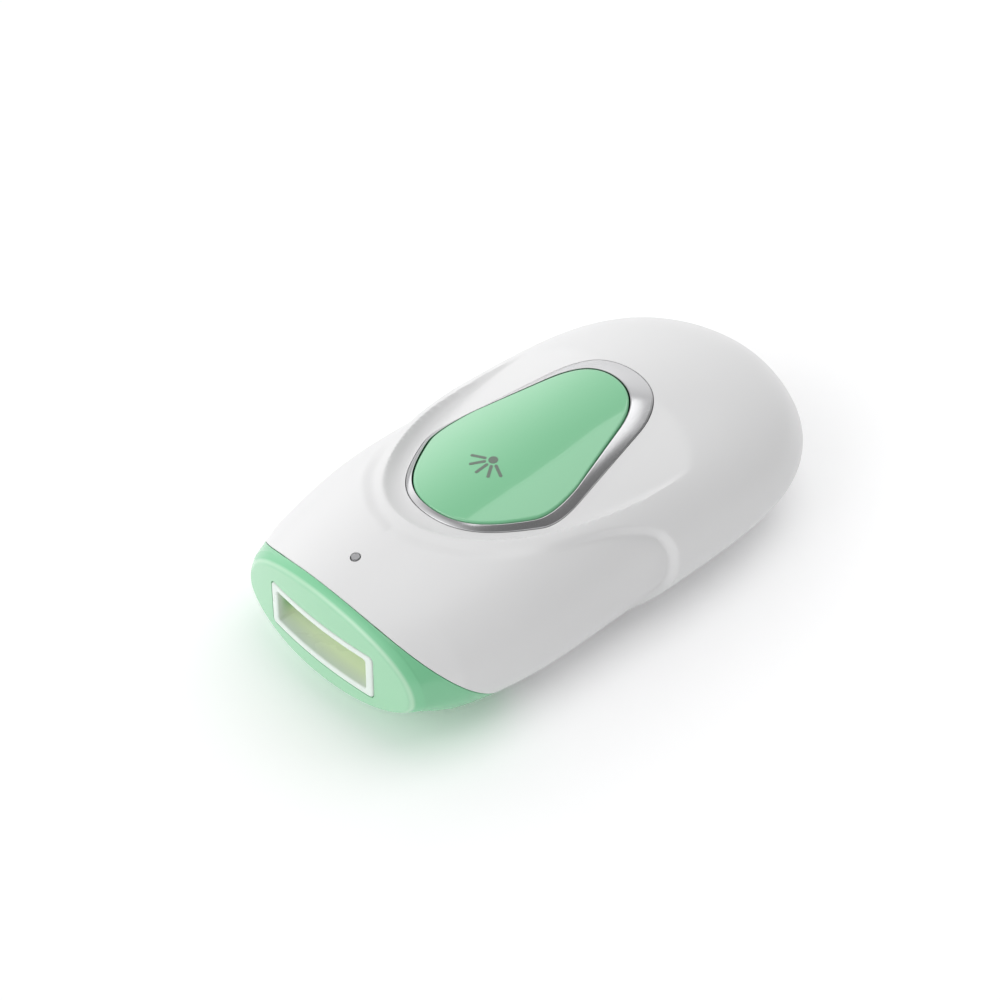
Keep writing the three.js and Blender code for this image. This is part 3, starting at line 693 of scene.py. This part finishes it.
def noseSolid():
    angle = columnAngles(grid["columns"])
    end = seamStation(angle[0], 0)[None, :]
    length = end - form["noseY"]
    u = np.linspace(0, 1, grid["noseRows"])[:, None]
    back = np.array([0.32, 0.23, 0.15, 0.08, 0.03, 0])[:, None]
    stations = np.concatenate([form["noseY"] + (length - 0.4) * u ** 1.8, end - back])
    turn = angle + stations * 0
    shaped = shapedSkin(stations, turn, end - stations)
    middle = np.array([0, form["noseY"], form["windowZ"]])
    face = []
    for reach in np.linspace(0.04, 0.97, 22):
        row = middle + (shaped[0] - middle) * reach
        row[:, 1] = form["noseY"] + form["faceBow"] * (row[:, 0] / form["noseHalfWidth"]) ** 2
        face.append(row)
    return loft("nose", np.concatenate([np.array(face), shaped]))


# button and bezel outlines

buttonShape = {"front": -33.7, "rear": 21.2, "widest": 17.4, "frontRun": 15.1, "rearX": 11, "rearRun": 9.6}
bezelShape = {"front": -35.3, "rear": 27.6, "widest": 19.4, "frontRun": 17, "rearX": 13.6, "rearRun": 12.3}
button = {"gap": 0.28, "lift": 0.9, "rise": 0.022, "crown": 0.5, "edge": 0.55, "rim": -2.9, "middleY": -6}
ring = {"outerLift": 0.08, "below": 0.14, "swell": 0.06, "skirt": -4, "flange": 1.1,
        "outerRound": 0.12, "innerRound": 0.14, "roundShare": 0.06}


def bezier(a, b, c, d, count):
    t = np.linspace(0, 1, count, endpoint=False)[:, None]
    a, b, c, d = (np.array(p, float) for p in (a, b, c, d))
    return (1 - t) ** 3 * a + 3 * (1 - t) ** 2 * t * b + 3 * (1 - t) * t * t * c + t ** 3 * d


def teardrop(shape, offset=0.0, count=34):
    front, rear = shape["front"] - offset, shape["rear"] + offset
    widest, rearX = shape["widest"] + offset, shape["rearX"] + offset
    sideY = front + shape["frontRun"]
    line = (widest * 0.943, sideY + 12.3)
    turnY = rear - shape["rearRun"]
    lean = (rearX - line[0]) / (turnY - line[1])
    run = shape["rearRun"] * 0.54
    half = np.concatenate([
        bezier((0, front), (widest * 0.535, front), (widest * 0.75, front + shape["frontRun"] / 2),
               (widest * 0.965, sideY), count),
        bezier((widest * 0.965, sideY), (widest * 1.022, sideY + 3.1), (widest * 1.007, sideY + 7),
               line, count),
        bezier(line, line, (rearX, turnY), (rearX, turnY), count),
        bezier((rearX, turnY), (rearX + lean * run, turnY + run), (rearX * 0.6, rear), (0, rear), count)])
    loop = np.concatenate([half, [(0, rear)], half[:0:-1] * (-1, 1)])
    for _ in range(12):  # eases the joins between the curves
        loop = loop * 0.5 + (np.roll(loop, 1, axis=0) + np.roll(loop, -1, axis=0)) * 0.25
    return loop


def buttonLift(y):
    return button["lift"] + button["rise"] * (y - buttonShape["front"])


def lifted(outline, lift):
    x, y = outline[:, 0], outline[:, 1]
    return np.stack([x, y, bedHeight(x, y) + lift], axis=-1)


def underSplit(gap):
    # the space below the line where the two casings meet
    half, base, top = 60, -10, form["splitZ"] - gap
    corners = (-half, base), (half, base), (half, top), (-half, top)
    return loft("below", [[(x, y, z) for x, z in corners] for y in (-90, 90)])


lightHole = {"radius": 1.2, "y": -54.7}
inlet = {"z": 17, "hole": (6.3, 5.5, 1.6), "block": (6, 5.2, 1.4), "socket": (3.4, 3.4, 1.2)}


def makeShells():
    casing, nose, hollow = casingSolid(), noseSolid(), innerSolid("hollow")
    print("skins built")
    surround = copyOf(casing)
    noseCut = copyOf(hollow)
    carve(nose, noseCut)
    carve(casing, hollow)
    opening = teardrop(bezelShape, 0.14)
    carve(casing, loft("opening", [lifted(opening, -6), lifted(opening, 14)]))
    carve(casing, postZ(lightHole["radius"], 20, 60, 0, lightHole["y"], 48))
    carve(casing, roundedBox(*inlet["hole"], 55, 70, inlet["z"]))
    lower = copyOf(casing)
    carve(lower, underSplit(form["splitGap"]), "INTERSECT")
    carve(casing, underSplit(0))
    return casing, lower, nose, surround


screws = {"spots": ((-22, -29), (22, -29), (-22, 42), (22, 42)), "seatZ": 5.2,
          "wellRadius": 2.9, "bossRadius": 3.9, "holeRadius": 1.7, "bossGap": 0.3}
slots = {"rows": 7, "firstY": -14, "pitch": 3.4, "half": 11, "radius": 0.75}


def dressLower(lower):
    # screw bosses with their wells, and the cooling slots
    outer = casingSolid()
    for x, y in screws["spots"]:
        boss = postZ(screws["bossRadius"], -5, form["splitZ"] - screws["bossGap"], x, y)
        carve(boss, copyOf(outer), "INTERSECT")
        carve(lower, boss, "UNION")
        carve(lower, postZ(screws["wellRadius"], -5, screws["seatZ"], x, y))
        carve(lower, postZ(screws["holeRadius"], -5, 20, x, y))
    radius = slots["radius"]
    for row in range(slots["rows"]):
        y = slots["firstY"] + row * slots["pitch"] + radius
        slot = [[(side * (slots["half"] - radius) + radius * math.cos(a), y + radius * math.sin(a), z)
                 for side, a in slotTurns()] for z in (-5, 5)]
        carve(lower, loft("slot", slot))
    bpy.data.objects.remove(outer)


def slotTurns():
    # the round ends of a cooling slot, as side and turn
    for side, start in ((1, -90), (-1, 90)):
        for i in range(9):
            yield side, math.radians(start + 180 * i / 8)


def buildShells():
    casing, lower, nose, surround = makeShells()
    dressLower(lower)
    carve(nose, roundedBox(*form["windowHole"], -80, -50, form["windowZ"], corner=10))
    finishPiece(casing, "upper_shell", "housing", "casing_white", ["upper_casing"])
    finishPiece(lower, "lower_shell", "housing", "casing_white", ["lower_casing"])
    finishPiece(nose, "nose_shell", "housing", "nose_green", ["nose_cover"])
    carve(surround, roundedBox(*inlet["block"], 59, 70, inlet["z"]), "INTERSECT")
    carve(surround, roundedBox(*inlet["socket"], 50, 80, inlet["z"]))
    finishPiece(surround, "inlet_surround", "housing", "casing_white", ["dc_surround"])


buildShells()


def bodyHeight(x, y):
    # the lower of the dish and the plain body's top
    share = np.clip(np.abs(x) / halfWidthAt(y, 0.0), 0, 1)
    power = form["topPower"]
    top = form["waistZ"] + (topAt(y, 0.0) - form["waistZ"]) * (1 - share ** power) ** (1 / power)
    return softLower(top, dishHeight(x, y), dish["softness"])


def buildRing():
    outer, inner = teardrop(bezelShape), teardrop(buttonShape, button["gap"])
    drop = bodyHeight(outer[:, 0], outer[:, 1]) - bedHeight(outer[:, 0], outer[:, 1])
    innerLift = buttonLift(inner[:, 1]) - ring["below"]
    flange = teardrop(bezelShape, ring["flange"])
    rows = [lifted(inner, ring["skirt"]), lifted(flange, ring["skirt"]), lifted(flange, ring["skirt"] + 1),
            lifted(outer, ring["skirt"] + 1), lifted(outer, drop - 1),
            lifted(outer, drop + ring["outerLift"] - 0.1)]
    for share in np.concatenate([[0.01, 0.03, 0.06], np.linspace(0.1, 0.9, 14), [0.94, 0.965, 0.985, 1]]):
        spot = outer + (inner - outer) * share
        edge = drop + ring["outerLift"]
        bevel = edge + (innerLift - edge) * share + ring["swell"] * math.sin(math.pi * share)
        outerNear = max(0, 1 - share / ring["roundShare"])
        innerNear = max(0, 1 - (1 - share) / ring["roundShare"])
        softened = bevel - ring["outerRound"] * outerNear ** 2 - ring["innerRound"] * innerNear ** 2
        rows.append(lifted(spot, softened))
    rows.append(lifted(inner, innerLift - 0.8))
    piece = loft("ring", rows, closed=True)
    finishPiece(piece, "bezel", "housing", "satin_metal", ["bezel_ring"], edge=40)


def buttonTop(outline, share):
    spot = outline * (share, share) + (0, button["middleY"] * (1 - share))
    return lifted(spot, buttonLift(spot[:, 1]) + button["crown"] * (1 - share ** 2))


def buildButton():
    outline = teardrop(buttonShape)
    x, y = outline[:, 0], outline[:, 1]
    rim = np.stack([x, y, dish["bedZ"] + dish["bedSlope"] * y + button["rim"]], axis=-1)
    rows = [rim + (rim.mean(axis=0) - rim) * share for share in (0.9, 0.5, 0.15)] + [rim]
    edge = button["edge"]
    rows.append(lifted(outline, buttonLift(y) - edge))
    for turn in np.radians((18, 36, 54, 72, 84)):
        inset = teardrop(buttonShape, -edge * (1 - math.cos(turn)))
        rows.append(lifted(inset, buttonLift(inset[:, 1]) - edge * (1 - math.sin(turn))))
    body = teardrop(buttonShape, -edge)
    for share in np.concatenate([[1, 0.985, 0.96], np.linspace(0.93, 0.03, 34)]):
        rows.append(buttonTop(body, share))
    piece = loft("button", rows)
    finishPiece(piece, "button_cap", "button_body", "button_green", ["power_button"], edge=50)


icon = {"y": -15.3, "dot": 1.05, "near": 1.9, "far": 4.9, "width": 0.36, "proud": 0.05, "sink": 0.12,
        "turns": (-66, -34, 0, 34, 66)}


def buttonHeight(x, y):
    # the share of the way out from the cap's middle gives the height of its crown
    middle = np.array((0, button["middleY"]))
    edge = teardrop(buttonShape, -button["edge"]) - middle
    turn = np.arctan2(edge[:, 1], edge[:, 0])
    order = np.argsort(turn)
    reach = np.interp(np.arctan2(y - middle[1], x), turn[order], np.hypot(*edge[order].T), period=2 * math.pi)
    share = np.hypot(x, y - middle[1]) / reach
    return bedHeight(x, y) + buttonLift(y) + button["crown"] * (1 - share ** 2)


def inkPad(loop):
    # a thin printed pad that follows the button's crown
    loop = np.array(loop)
    height = buttonHeight(loop[:, 0], loop[:, 1])
    lifts = -icon["sink"], icon["proud"]
    return [np.stack([loop[:, 0], loop[:, 1], height + lift], axis=-1) for lift in lifts]


def buildIcon():
    around = np.radians(np.arange(0, 360, 10))
    dot = [(icon["dot"] * math.cos(a), icon["y"] + icon["dot"] * math.sin(a)) for a in around]
    pads = [loft("dot", inkPad(dot))]
    for turn in np.radians(icon["turns"]):
        along, side = np.array((math.sin(turn), -math.cos(turn))), np.array((math.cos(turn), math.sin(turn)))
        ray = []
        for reach, start in ((icon["far"], -90), (icon["near"], 90)):
            for step in np.radians(start + np.arange(0, 181, 30)):
                cap = along * math.cos(step) * icon["width"] + side * math.sin(step) * icon["width"]
                ray.append(along * reach + cap + (0, icon["y"]))
        pads.append(loft("ray", inkPad(ray)))
    piece = pads[0]
    with bpy.context.temp_override(active_object=piece, selected_editable_objects=pads):
        bpy.ops.object.join()
    finishPiece(piece, "button_icon", "button_body", "icon_ink", [])


buildRing()
buildButton()
buildIcon()

springs = {
    "button": {"radius": 2, "height": 2.9, "turns": 4, "wire": 0.2, "ys": {"front": -26, "rear": 12},
               "bedGap": -6.1, "travel": 0.8},
    "frame": {"radius": 1.1, "height": 2.6, "turns": 4, "wire": 0.15, "x": 18.9, "y": -58.3, "z": 20, "travel": 1},
}


def coil(size, toFrame, count=26):
    # a drawn spring whose end turns lie flat; toFrame maps its own x, y, z into the frame
    turns, wire = size["turns"], size["wire"]
    loops = []
    for t in np.linspace(0, 1, turns * count + 1):
        angle = 2 * math.pi * turns * t
        climb = ease(t, 0.02, 0.98) * 0.6 + t * 0.4
        out = np.array((math.cos(angle), math.sin(angle), 0))
        centre = out * size["radius"] + (0, 0, wire + (size["height"] - 2 * wire) * climb)
        section = np.radians(np.arange(0, 360, 36))
        loops.append([toFrame(centre + out * wire * math.cos(a) + np.array((0, 0, wire * math.sin(a))))
                      for a in section])
    return loft("coil", loops)


def buildSprings():
    tilt = math.atan(dish["bedSlope"])
    size = springs["button"]
    up = np.array((0, -math.sin(tilt), math.cos(tilt)))
    forward = np.array((0, math.cos(tilt), math.sin(tilt)))
    for name, y in size["ys"].items():
        foot = np.array((0, 0, dish["bedZ"])) + forward * y + up * size["bedGap"]
        piece = coil(size, lambda p: foot + np.array((1, 0, 0)) * p[0] + forward * p[1] + up * p[2])
        node = "button_spring_" + name
        finishPiece(piece, "button_coil_" + name, "housing", "steel", [node])
        tuple(foot * mm)
        1 - size["travel"] / size["height"]
        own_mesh(piece)
    size = springs["frame"]
    for name, side in (("left", -1), ("right", 1)):
        foot = np.array((side * size["x"], size["y"], size["z"]))
        piece = coil(size, lambda p: foot + (p[0], p[2], p[1]))
        finishPiece(piece, "frame_coil_" + name, "housing", "steel", ["frame_spring_" + name])
        anchor = foot + (0, size["height"], 0)
        tuple(anchor * mm)
        1 - size["travel"] / size["height"]
        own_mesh(piece)


buildSprings()

window = {"halfX": 16, "halfZ": 5.9, "radius": 1.1, "openX": 14, "openZ": 4.3, "openRadius": 0.7,
          "frontY": -66, "depth": 7.4, "edge": 0.45, "chamfer": 0.5, "lugX": 20.6, "lugZ": 3.8}


def bowed(loop):
    loop = np.array(loop, float)
    loop[:, 1] += form["faceBow"] * (loop[:, 0] / form["noseHalfWidth"]) ** 2
    return loop


def buildWindow():
    z, front, back = form["windowZ"], window["frontY"], window["frontY"] + window["depth"]

    def loop(drawX, y, opening=False):
        halfX, halfZ, radius = ((window["openX"], window["openZ"], window["openRadius"]) if opening
                                else (window["halfX"], window["halfZ"], window["radius"]))
        return roundedLoop(halfX - drawX, halfZ - drawX, max(radius - drawX, 0.2), y, z, straight=14)

    rows = [np.array(loop(0, back)), bowed(loop(0, front + 3))]
    edge, chamfer = window["edge"], window["chamfer"]
    for turn in np.radians((0, 20, 40, 60, 80, 90)):
        rows.append(bowed(loop(edge * (1 - math.cos(turn)), front + edge * (1 - math.sin(turn)))))
    for turn in np.radians((90, 70, 50, 30, 10, 0)):
        rows.append(bowed(loop(-chamfer * (1 - math.cos(turn)), front + chamfer * (1 - math.sin(turn)), True)))
    rows += [bowed(loop(0, front + 3, True)), np.array(loop(0, back, True))]
    piece = loft("window", rows, closed=True)
    for side in (-1, 1):
        lug = roundedBox((window["lugX"] - 14.8) / 2, window["lugZ"], 0.5, back - 1.6, back, z,
                         side * (window["lugX"] + 14.8) / 2)
        carve(piece, lug, "UNION")
    finishPiece(piece, "contact_frame", "window_frame_body", "frosted_plastic", ["window_frame"], edge=40)


buildWindow()

# inner pieces keep their frame solids, with their own finishes

recordSlots = {row["node"]: row["material_slot"] for row in frame["record"]["subparts"]}
ownPaints = {"flash_lamp": lampGlass(), "light_pipe": holeShadeGreyPipe()}


def paintNodes():
    for name, node in frame["nodes"].items():
        node.data.materials.clear()
        node.data.materials.append(ownPaints.get(name) or slotPaints[recordSlots[name]])


paintNodes()
print("frame nodes painted")

# floor, light and sky


def makeFloor():
    size = studio["floorSize"] * mm / 2
    floorMesh = bpy.data.meshes.new("floor")
    corners = [(-size, -size, 0), (size, -size, 0), (size, size, 0), (-size, size, 0)]
    floorMesh.from_pydata(corners, [], [(0, 1, 2, 3)])
    floor = bpy.data.objects.new("floor", floorMesh)
    floor.location.z = -0.0002
    scene.collection.objects.link(floor)
    paint = Paint("floorPaper")
    fibre = paint.noise(600, 3)
    shade = tuple(c * 0.985 for c in studio["floorColour"])
    paint.wear(BaseColor=paint.mix(fibre, studio["floorColour"], shade), Roughness=0.9)
    paint.wear(EmissionColor=(1, 1, 1), EmissionStrength=studio["floorGlow"])
    floorMesh.materials.append(paint.material)


sky = {
    "base": 0.23, "focus": 5,
    "glows": {"left": ((-0.9, -0.35, 0.35), 0.38), "rearLeft": ((-1, 0.3, 0.3), 1.18),
              "rear": ((-0.4, 1, 0.35), 0.65), "front": ((-0.1, -1, 0.35), 2.6)},
}
softBox = {"from": (160, 330, 930), "size": (800, 1150), "radiance": 1.4, "twist": 9}


def makeSoftBox():
    data = bpy.data.lights.new("softBox", "AREA")
    data.shape = "RECTANGLE"
    data.size, data.size_y = (side * mm for side in softBox["size"])
    data.energy = softBox["radiance"] * math.pi * data.size * data.size_y
    light = bpy.data.objects.new("softBox", data)
    light.location = Vector(softBox["from"]) * mm
    light.rotation_mode = "QUATERNION"
    twist = Quaternion((0, 0, 1), math.radians(softBox["twist"]))
    light.rotation_quaternion = twist @ (-light.location).to_track_quat("-Z", "Y")
    scene.collection.objects.link(light)


def makeSky():
    # an even base with broad soft glows, each brightest toward its own direction
    world = bpy.data.worlds.new("sky")
    world.use_nodes = True
    scene.world = world
    paint = Paint("sky", world.node_tree)
    direction = paint.node("ShaderNodeTexCoord", {}, {}, "Generated")
    total = sky["base"]
    for toward, strength in sky["glows"].values():
        facing = paint.node("ShaderNodeVectorMath", {"operation": "DOT_PRODUCT"},
                            {0: direction, 1: Vector(toward).normalized()}, "Value")
        total = (facing.join("MAXIMUM", facing, 0.0) ** sky["focus"]) * strength + total
    background = world.node_tree.nodes["Background"]
    paint.plug(background.inputs["Color"], total)


makeFloor()
makeSoftBox()
makeSky()
scene.view_settings.view_transform = "Standard"
print("studio lit")
